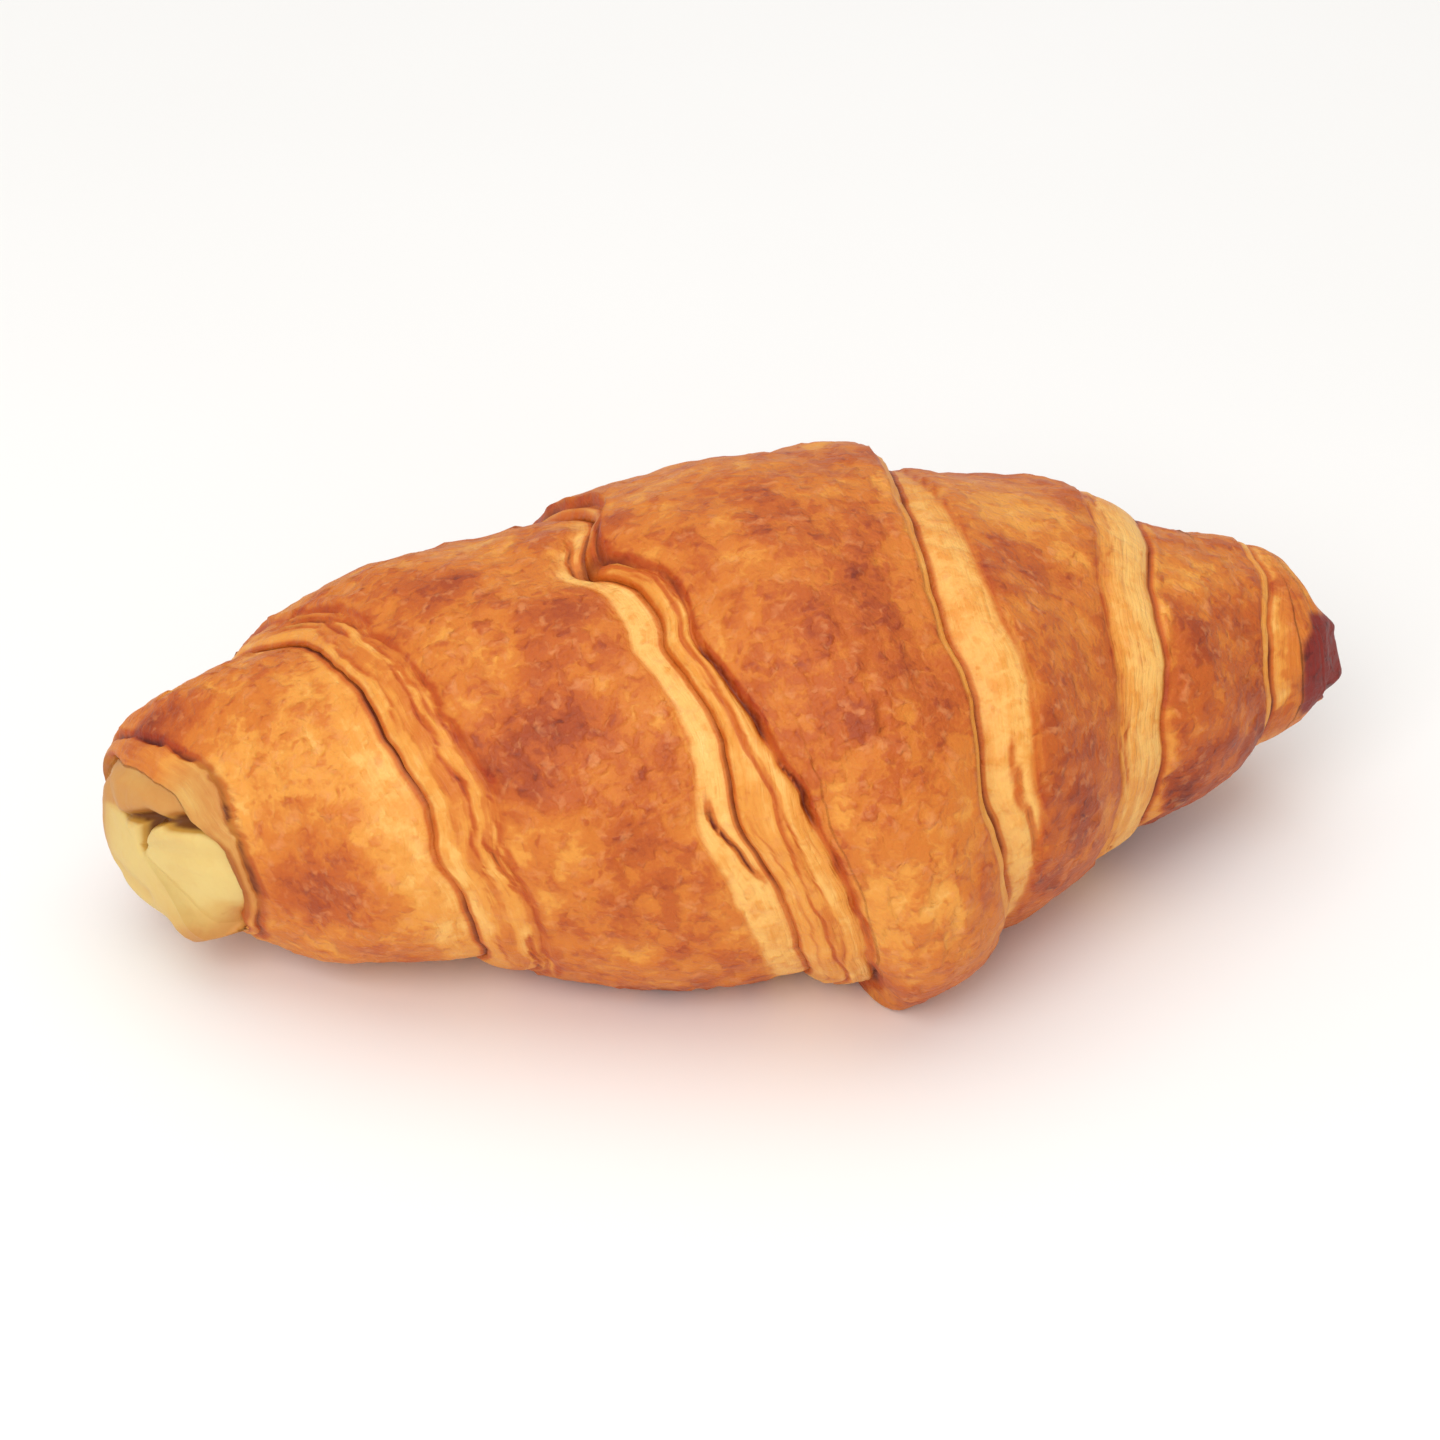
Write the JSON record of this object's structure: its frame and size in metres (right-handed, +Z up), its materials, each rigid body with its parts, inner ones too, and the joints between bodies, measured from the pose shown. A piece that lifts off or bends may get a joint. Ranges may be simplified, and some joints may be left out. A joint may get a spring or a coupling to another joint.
{
  "type": "croissant",
  "caption": "Baked laminated-dough croissant: a rolled crescent of stepped bands with layered edges, one open end and one browned tip.",
  "frame": {"origin": "bottom centre of the bounding box, on the surface that the croissant rests on", "axes": "+X along the length towards the closed browned tip, -Y towards the front, +Z up"},
  "size_m": [0.1478, 0.0736, 0.0537],
  "materials": {
    "crust": "baked pastry crust, orange-brown with paler bared margins"
  },
  "bodies": {
    "root": {"croissant": "crust"}
  },
  "joints": []
}
